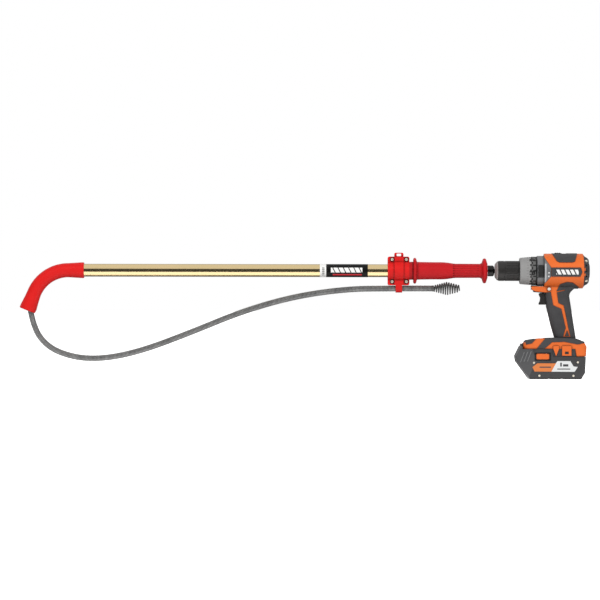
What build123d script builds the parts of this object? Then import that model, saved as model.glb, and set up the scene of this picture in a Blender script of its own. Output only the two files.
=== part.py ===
"""Drain snake machine: a hand-held toilet auger driven by a cordless drill.

A plated steel guide tube with a bent, vinyl-covered end carries a spiral steel cable.
A clamp housing and a hand grip are fixed at its other end. A drive tube slides and turns
inside the guide tube, and the drill's keyless chuck holds the drive tube's hex shank.

Frame, in millimetres: origin at the middle of the hand grip, on the tool's long axis.
+X runs along the tube towards the drill, +Z is up, and the drill's handle hangs down.
"""

import os
from math import atan, atan2, cos, degrees, pi, radians, sin, tan

from build123d import *

os.makedirs("parts", exist_ok=True)

# ---------------------------------------------------------------- driving dimensions
# guide tube and its bent end
TUBE_R, TUBE_BORE_R = 13.45, 12.0
TUBE_END_X = -60.0
BEND_X = -798.8
BEND_R = 78.0
BEND_DEG = 68.5
STEEL_OUTLET = 5.0
GUARD_START_X = -766.0
GUARD_R = 14.9
GUARD_START_R, GUARD_MOUTH_R = 16.7, 17.6
GUARD_OUTLET = 37.5

# cable
CABLE_R, CABLE_CORE_R = 6.35, 3.4
CABLE_TAIL_X = 60.0
CABLE_BEND_X, CABLE_BEND_R = -800.3, 79.4
# corners of the free cable's route, as (X, Z), from the guard's mouth to the bulb head
CABLE_ROUTE = [
    (-877.7, -87.6),
    (-873.8, -108.0),
    (-861.0, -139.0),
    (-837.0, -163.0),
    (-803.0, -178.0),
    (-760.0, -186.0),
    (-706.0, -183.0),
    (-636.0, -166.0),
    (-540.0, -129.5),
    (-436.0, -86.5),
    (-328.5, -55.0),
    (-218.0, -38.7),
    (-126.0, -37.1),
    (-36.0, -37.1),
]

# bulb head: a wire coil that swells and narrows again
BULB_X0, BULB_COIL_X0, BULB_MID_X, BULB_X1 = -36.0, -33.0, -4.0, 22.0
BULB_R0, BULB_MID_R, BULB_R1 = 5.2, 12.9, 6.2
BULB_WIRE_R = 1.35
BULB_TURNS_UP, BULB_TURNS_DOWN = 6, 5

# clamp housing
CLAMP_X0, CLAMP_X1 = -128.7, -83.2
CLAMP_Z0, CLAMP_Z1 = -30.5, 29.6
CLAMP_PLATE = 7.0
CLAMP_BULGE_R = 19.4
BAND_X0, BAND_X1 = -114.7, -95.6
BAND_PROUD = 1.8
EYE_TOP_Z = 37.8
EYE_W, EYE_H = 9.6, 5.4
SCREW_X = (-119.3, -89.5)
SCREW_Z = (-22.9, 23.6)
SCREW_R, SCREW_HEAD_R, SCREW_RECESS_R = 2.0, 3.2, 4.7
CLIP_W = 13.6
CLIP_WALL = 2.4
CLIP_R = CABLE_R + 0.12
CLIP_Z = CABLE_ROUTE[-1][1]
CLAMP_BORE_R = 13.5

# hand grip
GRIP_X0, GRIP_X1 = -96.0, 80.6
GRIP_REAR_BORE_X = -16.0
GRIP_REAR_BORE_R = 11.8

# drive tube, adapter and guide ring
DRIVE_R, DRIVE_BORE_R = 10.0, 8.4
DRIVE_X0, DRIVE_X1 = -780.0, 90.9
RUN_FIT = 0.06
ADAPTER_X0, ADAPTER_X1, ADAPTER_R = 81.4, 94.6, 11.4
HEX_FLATS = 8.0
HEX_X1 = 126.0
LATCH_X = 86.6

# keyless chuck
CHUCK_X0, CHUCK_X1 = 96.2, 150.0
CHUCK_NOSE_R0, CHUCK_NOSE_R1 = 14.7, 20.0
CHUCK_CORE_R = 17.9
SLEEVE_X0, SLEEVE_X1, SLEEVE_R, SLEEVE_BORE_R = 102.6, 147.4, 21.0, 18.25
JAW_X0, JAW_L, JAW_R, JAW_RHO, JAW_TILT = 97.5, 20.0, 3.6, 6.6, 15.0
JAW_SLOT_R = 3.75
JAW_ANGLES = (90, 210, 330)
SPINDLE_R, SPINDLE_X1 = 8.0, 186.4

# drill body
CLUTCH_X0, CLUTCH_X1, CLUTCH_R0, CLUTCH_R1 = 148.0, 171.9, 27.6, 29.4
MODE_X0, MODE_X1, MODE_R = 172.3, 183.7, 30.0
EDGE_NOTCH = 3.4
NOSE_TUBE_R = 19.7
CASE_X1, CASE_R = 201.4, 31.7
BARREL_X0, BARREL_X1, BARREL_R = 199.0, 281.4, 36.5
WALL = 2.6
# notch in each side of the barrel's front, which shows the gear case, as (X, Z)
CHEVRON = [(BARREL_X0 - 1, 29.5), (212.5, 7.0), (212.5, -12.3), (BARREL_X0 - 1, -28.0)]
CAP_X1, CAP_R, CAP_HUB_R, CAP_HUB_X1 = 292.6, 28.8, 15.0, 294.8
HANDLE_SECTIONS = [
    # height, front X, back X, half width, corner radius
    (-26.0, 199.0, 270.0, 17.5, 12.0),
    (-37.0, 200.4, 262.0, 17.3, 12.0),
    (-43.0, 201.1, 255.4, 17.1, 12.0),
    (-47.5, 201.7, 252.6, 17.0, 12.0),
    (-53.0, 202.3, 251.5, 16.9, 12.0),
    (-76.0, 205.2, 255.4, 16.5, 12.0),
    (-112.0, 213.8, 260.8, 17.0, 12.0),
    (-146.0, 223.6, 266.2, 18.5, 12.0),
]
FOOT_HALF_W = 36.0
BATTERY_HALF_W = 38.0
BATTERY_Z0, BATTERY_SPLIT_Z = -226.4, -187.0
RAIL_HALF_W, RAIL_TOP_Z = 24.0, -152.6
RAIL_X1 = 252.0
PAD_PROUD = 0.8

X_AXIS = Axis((0, 0, 0), (1, 0, 0))
BEND_AXIS = Axis((BEND_X, 0, -BEND_R), (0, -1, 0))
OUTLET_DIR = Vector(-cos(radians(BEND_DEG)), 0, -sin(radians(BEND_DEG)))
OUTLET_START = Vector(
    BEND_X - BEND_R * sin(radians(BEND_DEG)), 0, -BEND_R + BEND_R * cos(radians(BEND_DEG))
)
OUTLET_PLANE = Plane(origin=OUTLET_START, x_dir=(0, 1, 0), z_dir=OUTLET_DIR)
OUTLET_PROFILE = Plane(origin=OUTLET_START, x_dir=OUTLET_DIR, z_dir=(0, -1, 0))
OUTLET_AXIS = Axis(OUTLET_START, OUTLET_DIR)


# ---------------------------------------------------------------- shared shapes
def ring_section(outer, inner):
    """An annulus in the sketch that is being drawn."""
    Circle(outer)
    Circle(inner, mode=Mode.SUBTRACT)


def turned(points, mode=Mode.ADD):
    """A solid turned about the tool's axis from (X, radius) corners."""
    with BuildSketch(Plane.XZ) as profile:
        with BuildLine():
            Polyline(*points, close=True)
        make_face()
    revolve(profile.sketch, axis=X_AXIS, mode=mode)


def bar_x(x0, x1, outer, inner=0.0, mode=Mode.ADD):
    """A round bar or ring along the tool's axis."""
    with BuildSketch(Plane.YZ.offset(x0)) as section:
        Circle(outer)
        if inner > 0:
            Circle(inner, mode=Mode.SUBTRACT)
    extrude(section.sketch, amount=x1 - x0, mode=mode)


def side_plate(points, y0, y1, mode=Mode.ADD):
    """A plate with an (X, Z) outline, from y0 up to y1."""
    with BuildSketch(Plane.XZ.offset(-y1)) as outline:
        with BuildLine():
            Polyline(*points, close=True)
        make_face()
    extrude(outline.sketch, amount=y1 - y0, mode=mode)


def block(x, y, z, mode=Mode.ADD):
    """A box between two limits on each axis."""
    centre = ((x[0] + x[1]) / 2, (y[0] + y[1]) / 2, z[0])
    with BuildSketch(Plane(origin=centre)) as base:
        Rectangle(x[1] - x[0], y[1] - y[0])
    extrude(base.sketch, amount=z[1] - z[0], mode=mode)


# ---------------------------------------------------------------- guide tube
with BuildPart() as guide_tube:
    with BuildSketch(Plane.YZ.offset(BEND_X)) as tube_section:
        ring_section(TUBE_R, TUBE_BORE_R)
    extrude(amount=TUBE_END_X - BEND_X)
    revolve(tube_section.sketch, axis=BEND_AXIS, revolution_arc=BEND_DEG)
    with BuildSketch(OUTLET_PLANE):
        ring_section(TUBE_R, TUBE_BORE_R)
    extrude(amount=STEEL_OUTLET)
guide_tube.part.label = "guide_tube"
export_step(guide_tube.part, "parts/guide_tube.step")

# ---------------------------------------------------------------- vinyl elbow guard
with BuildPart() as elbow_guard:
    turned(
        [
            (BEND_X, TUBE_R + 0.05),
            (GUARD_START_X, TUBE_R + 0.05),
            (GUARD_START_X, GUARD_START_R - 1),
            (GUARD_START_X - 1.5, GUARD_START_R),
            (GUARD_START_X - 7, GUARD_START_R - 0.2),
            (BEND_X, GUARD_R),
        ]
    )
    with BuildSketch(Plane.YZ.offset(BEND_X)):
        ring_section(GUARD_R, TUBE_R + 0.05)
    revolve(axis=BEND_AXIS, revolution_arc=BEND_DEG)
    with BuildSketch(OUTLET_PROFILE):
        with BuildLine():
            Polyline(
                (0, TUBE_R + 0.05),
                (STEEL_OUTLET + 0.3, TUBE_R + 0.05),
                (GUARD_OUTLET - 20, GUARD_MOUTH_R - 2.6),
                (GUARD_OUTLET - 1, GUARD_MOUTH_R - 2.2),
                (GUARD_OUTLET, GUARD_MOUTH_R - 1.2),
                (GUARD_OUTLET - 1, GUARD_MOUTH_R),
                (GUARD_OUTLET - 8, GUARD_MOUTH_R),
                (12, GUARD_R + 0.8),
                (0, GUARD_R),
                close=True,
            )
        make_face()
    revolve(axis=OUTLET_AXIS)
elbow_guard.part.label = "elbow_guard"
export_step(elbow_guard.part, "parts/elbow_guard.step")

# ---------------------------------------------------------------- sticker on the tube
with BuildPart() as tube_label:
    bar_x(-271.0, -170.4, TUBE_R + 0.3, TUBE_R + 0.02)
tube_label.part.label = "tube_label"
export_step(tube_label.part, "parts/tube_label.step")


# ---------------------------------------------------------------- clamp housing
CLAMP_MID_X = (CLAMP_X0 + CLAMP_X1) / 2
BAND_MID_X = (BAND_X0 + BAND_X1) / 2
SCREW_PLACES = [(x, z) for x in SCREW_X for z in SCREW_Z]

with BuildPart() as clamp_pattern:
    # one shell on the -Y side of the split face: plate, hanging eye and raised band
    with BuildSketch(Plane.XZ):
        with Locations((CLAMP_MID_X, (CLAMP_Z0 + CLAMP_Z1) / 2)):
            RectangleRounded(CLAMP_X1 - CLAMP_X0, CLAMP_Z1 - CLAMP_Z0, 3.5)
    extrude(amount=CLAMP_PLATE)
    with BuildSketch(Plane.XZ):
        with Locations((BAND_MID_X, (CLAMP_Z0 + EYE_TOP_Z) / 2)):
            RectangleRounded(BAND_X1 - BAND_X0, EYE_TOP_Z - CLAMP_Z0, 3.0)
        with Locations((BAND_MID_X, EYE_TOP_Z - 1.8 - EYE_H / 2)):
            RectangleRounded(EYE_W, EYE_H, 1.2, mode=Mode.SUBTRACT)
    extrude(amount=CLAMP_PLATE - 1.5)
    block((BAND_X0, BAND_X1), (-CLAMP_PLATE - BAND_PROUD, -CLAMP_PLATE + 2), (CLAMP_Z0, CLAMP_Z1))
    # half barrel over the tube, with the band running over it
    bar_x(CLAMP_X0, CLAMP_X1, CLAMP_BULGE_R)
    bar_x(BAND_X0, BAND_X1, CLAMP_BULGE_R + BAND_PROUD)
    block((CLAMP_X0 - 1, CLAMP_X1 + 1), (0, 30), (-30, 30), mode=Mode.SUBTRACT)
    # the tube's bore and the grip's socket
    bar_x(CLAMP_X0 - 1, CLAMP_X1 + 1, CLAMP_BORE_R, mode=Mode.SUBTRACT)
    bar_x(GRIP_X0 - 0.1, CLAMP_X1 + 1, 16.4, mode=Mode.SUBTRACT)
    bar_x(GRIP_X0 - 0.1, GRIP_X0 + 4.1, 17.7, mode=Mode.SUBTRACT)
    # screw holes
    with BuildSketch(Plane.XZ):
        with Locations(*SCREW_PLACES):
            Circle(SCREW_R + 0.2)
    extrude(amount=CLAMP_PLATE + 4, mode=Mode.SUBTRACT)


with BuildPart() as clamp_front:
    add(clamp_pattern.part)
    # hook that holds the cable below the housing, open at the back
    with BuildSketch(Plane.YZ.offset(BAND_MID_X - CLIP_W / 2)):
        with Locations((0, CLIP_Z)):
            Circle(CLIP_R + CLIP_WALL)
        with Locations((-CLIP_R + 2, CLIP_Z + 5)):
            Rectangle(2 * CLIP_WALL + 4, 10)
        with Locations((0, CLIP_Z)):
            Circle(CLIP_R, mode=Mode.SUBTRACT)
        with BuildLine():
            Polyline((0, CLIP_Z), (30, CLIP_Z - 9), (30, 0), (0, 0), close=True)
        make_face(mode=Mode.SUBTRACT)
    extrude(amount=CLIP_W)
    bar_below = Plane(origin=(CLAMP_X0 - 1, 0, CLIP_Z), x_dir=(0, 1, 0), z_dir=(1, 0, 0))
    with BuildSketch(bar_below):
        Circle(CLIP_R)
    extrude(amount=CLAMP_X1 - CLAMP_X0 + 2, mode=Mode.SUBTRACT)
    # recesses for the screw heads
    with BuildSketch(Plane.XZ.offset(CLAMP_PLATE - 2.8)):
        with Locations(*SCREW_PLACES):
            Circle(SCREW_RECESS_R)
    extrude(amount=6, mode=Mode.SUBTRACT)
clamp_front.part.label = "clamp_front"
export_step(clamp_front.part, "parts/clamp_front.step")

with BuildPart() as clamp_back:
    add(mirror(clamp_pattern.part, about=Plane.XZ, mode=Mode.PRIVATE))
    # pockets for the nuts
    with BuildSketch(Plane.XZ.offset(-CLAMP_PLATE - 3)):
        with Locations(*SCREW_PLACES):
            RegularPolygon(4.2, 6)
    extrude(amount=5.8, mode=Mode.SUBTRACT)
    bar_behind = Plane(origin=(CLAMP_X0 - 1, 0, CLIP_Z), x_dir=(0, 1, 0), z_dir=(1, 0, 0))
    with BuildSketch(bar_behind):
        Circle(CLIP_R)
    extrude(amount=CLAMP_X1 - CLAMP_X0 + 2, mode=Mode.SUBTRACT)
clamp_back.part.label = "clamp_back"
export_step(clamp_back.part, "parts/clamp_back.step")

with BuildPart() as clamp_screws:
    with BuildSketch(Plane.XZ.offset(-(CLAMP_PLATE - 1))):
        with Locations(*SCREW_PLACES):
            Circle(SCREW_R)
    extrude(amount=2 * CLAMP_PLATE - 3.8)
    with BuildSketch(Plane.XZ.offset(CLAMP_PLATE - 2.8)):
        with Locations(*SCREW_PLACES):
            Circle(SCREW_HEAD_R)
    extrude(amount=2.2)
    fillet(clamp_screws.faces().group_by(Axis.Y)[0].edges(), 1.0)
    with BuildSketch(Plane.XZ.offset(CLAMP_PLATE - 1.8)):
        with Locations(*SCREW_PLACES):
            Rectangle(3.6, 0.9)
            Rectangle(0.9, 3.6)
    extrude(amount=3, mode=Mode.SUBTRACT)
clamp_screws.part.label = "clamp_screws"
export_step(clamp_screws.part, "parts/clamp_screws.step")

with BuildPart() as clamp_nuts:
    with BuildSketch(Plane.XZ.offset(-CLAMP_PLATE + 0.2)):
        with Locations(*SCREW_PLACES):
            RegularPolygon(4.0, 6)
            Circle(SCREW_R + 0.03, mode=Mode.SUBTRACT)
    extrude(amount=2.5)
clamp_nuts.part.label = "clamp_nuts"
export_step(clamp_nuts.part, "parts/clamp_nuts.step")

# ---------------------------------------------------------------- hand grip
with BuildPart() as hand_grip:
    with BuildSketch(Plane.XZ):
        with BuildLine():
            Polyline(
                (GRIP_REAR_BORE_X, CLAMP_BORE_R),
                (GRIP_X0, CLAMP_BORE_R),
                (GRIP_X0, 17.6),
                (GRIP_X0 + 4, 17.6),
                (GRIP_X0 + 4, 16.3),
                (CLAMP_X1 + 0.1, 16.3),
                (CLAMP_X1 + 0.1, 18.9),
                (-74.8, 18.9),
                (-74.8, 25.2),
                (-73.4, 27.0),
                (-70.4, 27.0),
                (-68.8, 25.2),
                (-67.6, 19.6),
                (-66.0, 18.6),
            )
            Spline((-66.0, 18.6), (-30, 18.1), (-2, 17.1), (14, 14.9), tangents=((1, -0.01), (1, -0.05)))
            Polyline((14, 14.9), (64.5, 14.7), (68.5, 16.5), (70.6, 22.8))
            ThreePointArc((70.6, 22.8), (74.6, 26.2), (78.2, 22.8))
            Polyline(
                (78.2, 22.8),
                (GRIP_X1, 15.5),
                (GRIP_X1, GRIP_REAR_BORE_R),
                (GRIP_REAR_BORE_X, GRIP_REAR_BORE_R),
                (GRIP_REAR_BORE_X, CLAMP_BORE_R),
            )
        make_face()
    revolve(axis=X_AXIS)
    # grooves along the narrow stretch
    with BuildSketch(Plane.YZ.offset(8)):
        with PolarLocations(15.9, 18):
            Circle(1.7)
    extrude(amount=54, mode=Mode.SUBTRACT)
hand_grip.part.label = "hand_grip"
export_step(hand_grip.part, "parts/hand_grip.step")

with BuildPart() as front_bush:
    bar_x(TUBE_END_X + 0.2, TUBE_END_X + 16, CLAMP_BORE_R - 0.05, DRIVE_R + RUN_FIT)
front_bush.part.label = "front_bush"
export_step(front_bush.part, "parts/front_bush.step")

with BuildPart() as rear_bush:
    bar_x(58.0, GRIP_X1, GRIP_REAR_BORE_R - 0.05, DRIVE_R + RUN_FIT)
rear_bush.part.label = "rear_bush"
export_step(rear_bush.part, "parts/rear_bush.step")

# ---------------------------------------------------------------- cable inside the tube
with BuildPart() as cable_inner:
    with BuildLine(Plane.XZ) as inner_path:
        tail = Line((CABLE_TAIL_X, 0), (CABLE_BEND_X, 0))
        elbow = JernArc(start=tail @ 1, tangent=tail % 1, radius=CABLE_BEND_R, arc_size=BEND_DEG)
        TangentArc(elbow @ 1, CABLE_ROUTE[0], tangent=elbow % 1)
    with BuildSketch(Plane(origin=inner_path.line @ 0, z_dir=inner_path.line % 0)):
        Circle(CABLE_R)
        Circle(CABLE_CORE_R, mode=Mode.SUBTRACT)
    sweep(path=inner_path.line)
cable_inner.part.label = "cable_inner"
export_step(cable_inner.part, "parts/cable_inner.step")


# ---------------------------------------------------------------- free cable
def route_radii(points):
    """The largest radius that each corner's two runs allow."""
    corners = [Vector(x, 0, z) for x, z in points]
    radii = []
    for before, here, after in zip(corners, corners[1:], corners[2:]):
        shorter = min((here - before).length, (after - here).length)
        turn = (here - before).get_angle(after - here)
        radii.append(0.45 * shorter / tan(radians(turn / 2)))
    return radii


cable_radii = route_radii(CABLE_ROUTE)
print("cable radii, mm:", [round(r) for r in cable_radii], "five diameters:", 10 * CABLE_R)

with BuildPart() as cable_run:
    with BuildLine(Plane.XZ):
        route = FilletPolyline(*CABLE_ROUTE, radius=cable_radii)
    with BuildSketch(Plane(origin=route @ 0, z_dir=route % 0)):
        Circle(CABLE_R)
    sweep(path=route)
section_by_length = pi * CABLE_R**2 * route.length
print("cable length, mm:", round(route.length, 1))
print("cable volume over section by length:", round(cable_run.part.volume / section_by_length, 4))
cable_run.part.label = "cable_run"
export_step(cable_run.part, "parts/cable_run.step")

# ---------------------------------------------------------------- bulb head
def wire_coil(x0, x1, r0, r1, turns, angle):
    """One tapered stretch of the bulb's wire, and the angle at which it ends."""
    with BuildPart() as coil:
        with BuildLine():
            spine = Helix(
                pitch=(x1 - x0) / turns,
                height=x1 - x0,
                radius=r0,
                center=(x0, 0, 0),
                direction=(1, 0, 0),
                cone_angle=degrees(atan((r1 - r0) / (x1 - x0))),
            )
        with BuildSketch(Plane(origin=spine @ 0, z_dir=spine % 0)):
            Circle(BULB_WIRE_R)
        sweep(path=spine, is_frenet=True)
    start, end = spine @ 0, spine @ 1
    turn = degrees(atan2(end.Z, end.Y) - atan2(start.Z, start.Y))
    return coil.part.rotate(X_AXIS, angle), angle + turn


coil_up, coil_angle = wire_coil(BULB_COIL_X0, BULB_MID_X, BULB_R0, BULB_MID_R, BULB_TURNS_UP, 0)
coil_down, coil_angle = wire_coil(BULB_MID_X, BULB_X1, BULB_MID_R, BULB_R1, BULB_TURNS_DOWN, coil_angle)
with BuildPart() as bulb_head:
    add(coil_up)
    add(coil_down)
    # closed turns where the coil leaves the cable
    bar_x(BULB_X0, BULB_COIL_X0 + 0.8, CABLE_R)
bulb_head.part.position += (0, 0, CABLE_ROUTE[-1][1])
bulb_head.part.label = "bulb_head"
export_step(bulb_head.part, "parts/bulb_head.step")

# ---------------------------------------------------------------- drive tube group
with BuildPart() as drive_tube:
    bar_x(DRIVE_X0, DRIVE_X1, DRIVE_R, DRIVE_BORE_R)
    # holes for the cross pin and, on the far side, for the latch
    with BuildSketch(Plane.XY.offset(-15)):
        with Locations((LATCH_X, 0)):
            Circle(1.55)
    extrude(amount=30, mode=Mode.SUBTRACT)
    with BuildSketch(Plane.XZ):
        with Locations((LATCH_X, 0)):
            Circle(2.7)
    extrude(amount=-15, mode=Mode.SUBTRACT)
drive_tube.part.label = "drive_tube"
export_step(drive_tube.part, "parts/drive_tube.step")

with BuildPart() as guide_ring:
    bar_x(DRIVE_X0, DRIVE_X0 + 18, TUBE_BORE_R - RUN_FIT, DRIVE_R + RUN_FIT)
guide_ring.part.label = "guide_ring"
export_step(guide_ring.part, "parts/guide_ring.step")

with BuildPart() as drive_adapter:
    turned(
        [
            (ADAPTER_X0, DRIVE_R),
            (ADAPTER_X0, ADAPTER_R - 0.8),
            (ADAPTER_X0 + 0.8, ADAPTER_R),
            (ADAPTER_X1 - 2.5, ADAPTER_R),
            (ADAPTER_X1, ADAPTER_R - 2.5),
            (ADAPTER_X1, 0),
            (DRIVE_X1 + 0.1, 0),
            (DRIVE_X1 + 0.1, DRIVE_R),
        ]
    )
    with BuildSketch(Plane.YZ.offset(ADAPTER_X1 - 0.5)):
        RegularPolygon(HEX_FLATS / 2, 6, major_radius=False)
    extrude(amount=HEX_X1 - ADAPTER_X1 + 0.5)
    # cross pin's hole and the latch's hole, which opens on the far side
    with BuildSketch(Plane.XY.offset(-15)):
        with Locations((LATCH_X, 0)):
            Circle(1.55)
    extrude(amount=30, mode=Mode.SUBTRACT)
    with BuildSketch(Plane.XZ):
        with Locations((LATCH_X, 0)):
            Circle(2.7)
    extrude(amount=-15, mode=Mode.SUBTRACT)
drive_adapter.part.label = "drive_adapter"
export_step(drive_adapter.part, "parts/drive_adapter.step")

with BuildPart() as adapter_pin:
    with BuildSketch(Plane.XY.offset(-ADAPTER_R + 0.4)):
        with Locations((LATCH_X, 0)):
            Circle(1.5)
    extrude(amount=2 * ADAPTER_R - 0.8)
adapter_pin.part.label = "adapter_pin"
export_step(adapter_pin.part, "parts/adapter_pin.step")

with BuildPart() as latch_button:
    with BuildSketch(Plane.XZ.offset(-DRIVE_R - 0.4)):
        with Locations((LATCH_X, 0)):
            Circle(2.4)
    extrude(amount=-3.2)
    fillet(latch_button.faces().sort_by(Axis.Y)[-1].edges(), 0.9)
latch_button.part.label = "latch_button"
export_step(latch_button.part, "parts/latch_button.step")


# ---------------------------------------------------------------- keyless chuck
def jaw_plane(angle):
    """A plane on a jaw's slanted axis, at its front end."""
    out = Vector(0, cos(radians(angle)), sin(radians(angle)))
    front = Vector(JAW_X0, 0, 0) + out * JAW_RHO
    along = Vector(cos(radians(JAW_TILT)), 0, 0) + out * sin(radians(JAW_TILT))
    return Plane(origin=front, x_dir=out - along * out.dot(along), z_dir=along)


with BuildPart() as chuck_body:
    turned(
        [
            (CHUCK_X0, 7.2),
            (CHUCK_X0, CHUCK_NOSE_R0 - 0.8),
            (CHUCK_X0 + 0.6, CHUCK_NOSE_R0),
            (SLEEVE_X0 - 1.4, CHUCK_NOSE_R1),
            (SLEEVE_X0 - 0.3, CHUCK_NOSE_R1),
            (SLEEVE_X0 - 0.3, CHUCK_CORE_R),
            (CHUCK_X1, CHUCK_CORE_R),
            (CHUCK_X1, SPINDLE_R + 0.05),
            (132.0, SPINDLE_R + 0.05),
            (132.0, 7.2),
        ]
    )
    for angle in JAW_ANGLES:
        with BuildSketch(jaw_plane(angle).offset(-8)):
            Circle(JAW_SLOT_R)
        extrude(amount=JAW_L + 18, mode=Mode.SUBTRACT)
chuck_body.part.label = "chuck_body"
export_step(chuck_body.part, "parts/chuck_body.step")

for number, angle in enumerate(JAW_ANGLES, start=1):
    with BuildPart() as chuck_jaw:
        with BuildSketch(jaw_plane(angle)):
            Circle(JAW_R)
        extrude(amount=JAW_L)
        # the gripping flat, and the tip that would stand out of the nose
        out_dir = (0, cos(radians(angle)), sin(radians(angle)))
        with BuildSketch(Plane(origin=(JAW_X0 + 10, 0, 0), x_dir=(1, 0, 0), z_dir=out_dir)):
            Rectangle(60, 30)
        extrude(amount=HEX_FLATS / 2 + 0.02, mode=Mode.SUBTRACT)
        with BuildSketch(Plane.YZ.offset(JAW_X0 - 20)):
            Rectangle(60, 60)
        extrude(amount=20, mode=Mode.SUBTRACT)
    chuck_jaw.part.label = f"chuck_jaw_{number}"
    export_step(chuck_jaw.part, f"parts/chuck_jaw_{number}.step")

with BuildPart() as chuck_sleeve:
    turned(
        [
            (SLEEVE_X0, SLEEVE_BORE_R),
            (SLEEVE_X0, SLEEVE_R - 1.6),
            (SLEEVE_X0 + 1.6, SLEEVE_R),
            (SLEEVE_X0 + 13, SLEEVE_R),
            (SLEEVE_X0 + 14, SLEEVE_R - 0.6),
            (SLEEVE_X0 + 15, SLEEVE_R),
            (SLEEVE_X1 - 1, SLEEVE_R),
            (SLEEVE_X1, SLEEVE_R - 1),
            (SLEEVE_X1, SLEEVE_BORE_R),
        ]
    )
    with BuildSketch(Plane.YZ.offset(SLEEVE_X0 + 18)):
        with PolarLocations(SLEEVE_R + 0.9, 24):
            Circle(1.5)
    extrude(amount=24, mode=Mode.SUBTRACT)
chuck_sleeve.part.label = "chuck_sleeve"
export_step(chuck_sleeve.part, "parts/chuck_sleeve.step")

with BuildPart() as spindle:
    bar_x(133.0, SPINDLE_X1, SPINDLE_R)
spindle.part.label = "spindle"
export_step(spindle.part, "parts/spindle.step")

# ---------------------------------------------------------------- drill: front end
with BuildPart() as spindle_bearing:
    bar_x(170.0, 182.0, 14.0, SPINDLE_R + RUN_FIT)
spindle_bearing.part.label = "spindle_bearing"
export_step(spindle_bearing.part, "parts/spindle_bearing.step")

with BuildPart() as case_lugs:
    bar_x(BARREL_X0, CHEVRON[1][0], BARREL_R - 0.7, BARREL_R - WALL - 0.3)
    with BuildSketch(Plane.XZ):
        with BuildLine():
            Polyline(*CHEVRON, close=True)
        make_face()
        offset(amount=-0.3, kind=Kind.INTERSECTION)
    extrude(amount=BARREL_R, both=True, mode=Mode.INTERSECT)

with BuildPart() as gear_case:
    turned(
        [
            (151.0, 14.05),
            (151.0, NOSE_TUBE_R),
            (MODE_X1 + 0.3, NOSE_TUBE_R),
            (MODE_X1 + 0.3, CASE_R - 1),
            (MODE_X1 + 1.3, CASE_R),
            (CASE_X1 - 2.6, CASE_R),
            (CASE_X1 - 2.6, BARREL_R - WALL - 0.1),
            (CASE_X1 + 13, BARREL_R - WALL - 0.1),
            (CASE_X1 + 13, 30.0),
            (CASE_X1 + 6, 30.0),
            (CASE_X1 + 6, 27.0),
            (186.5, 27.0),
            (186.5, 14.05),
        ]
    )
    # pockets for the indicator windows on both sides
    for y0, y1 in ((-CASE_R - 1, -CASE_R + 3), (CASE_R - 3, CASE_R + 1)):
        block((185.6, 198.4), (y0, y1), (-12.8, 12.0), mode=Mode.SUBTRACT)
    add(case_lugs.part)
gear_case.part.label = "gear_case"
export_step(gear_case.part, "parts/gear_case.step")

with BuildPart() as indicator_windows:
    for y0, y1 in ((-CASE_R - 0.6, -CASE_R + 2.9), (CASE_R - 2.9, CASE_R + 0.6)):
        block((185.9, 198.1), (y0, y1), (-12.5, 11.7))
    fillet(indicator_windows.edges().filter_by(Axis.Y), 1.5)
indicator_windows.part.label = "indicator_windows"
export_step(indicator_windows.part, "parts/indicator_windows.step")

with BuildPart() as clutch_ring:
    turned(
        [
            (CLUTCH_X0, NOSE_TUBE_R + 0.3),
            (CLUTCH_X0, CLUTCH_R0 - 1.5),
            (CLUTCH_X0 + 1.5, CLUTCH_R0),
            (CLUTCH_X0 + 5, CLUTCH_R0 + 0.4),
            (CLUTCH_X1 - 2, CLUTCH_R1),
            (CLUTCH_X1, CLUTCH_R1 - 0.6),
            (CLUTCH_X1, NOSE_TUBE_R + 0.3),
        ]
    )
    # finger grooves around the ring
    with BuildSketch(Plane.YZ.offset(CLUTCH_X0 + 6)):
        with PolarLocations(CLUTCH_R1 + 0.5, 30):
            Circle(1.4)
    extrude(amount=11, mode=Mode.SUBTRACT)
    # notched rear edge
    with BuildSketch(Plane.YZ.offset(CLUTCH_X1 - EDGE_NOTCH)):
        with PolarLocations(CLUTCH_R1, 15, start_angle=12):
            Rectangle(4.4, 5.4)
    extrude(amount=EDGE_NOTCH + 1, mode=Mode.SUBTRACT)
clutch_ring.part.label = "clutch_ring"
export_step(clutch_ring.part, "parts/clutch_ring.step")

with BuildPart() as mode_ring:
    turned(
        [
            (MODE_X0, NOSE_TUBE_R + 0.3),
            (MODE_X0, MODE_R - 0.8),
            (MODE_X0 + 0.8, MODE_R),
            (MODE_X1 - 0.8, MODE_R),
            (MODE_X1, MODE_R - 0.8),
            (MODE_X1, NOSE_TUBE_R + 0.3),
        ]
    )
    with BuildSketch(Plane.YZ.offset(MODE_X0 + 2.5)):
        with PolarLocations(MODE_R + 0.4, 16):
            Rectangle(2.4, 3.4)
    extrude(amount=6.5, mode=Mode.SUBTRACT)
    # notched front edge, half a step round from the slots
    with BuildSketch(Plane.YZ.offset(MODE_X0 - 1)):
        with PolarLocations(MODE_R, 16, start_angle=11.25):
            Rectangle(4.0, 5.0)
    extrude(amount=EDGE_NOTCH, mode=Mode.SUBTRACT)
mode_ring.part.label = "mode_ring"
export_step(mode_ring.part, "parts/mode_ring.step")

# ---------------------------------------------------------------- drill: inside
with BuildPart() as gearbox:
    bar_x(187.0, 206.0, 26.9)
    bar_x(186.0, 206.5, 4.6, mode=Mode.SUBTRACT)
gearbox.part.label = "gearbox"
export_step(gearbox.part, "parts/gearbox.step")

with BuildPart() as motor_stator:
    bar_x(211.0, 252.0, 28.5, 15.3)
    with BuildSketch(Plane.YZ.offset(211.0)):
        with PolarLocations(22.0, 6):
            RectangleRounded(5.0, 10.0, 1.5)
    extrude(amount=41, mode=Mode.SUBTRACT)
motor_stator.part.label = "motor_stator"
export_step(motor_stator.part, "parts/motor_stator.step")

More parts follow.
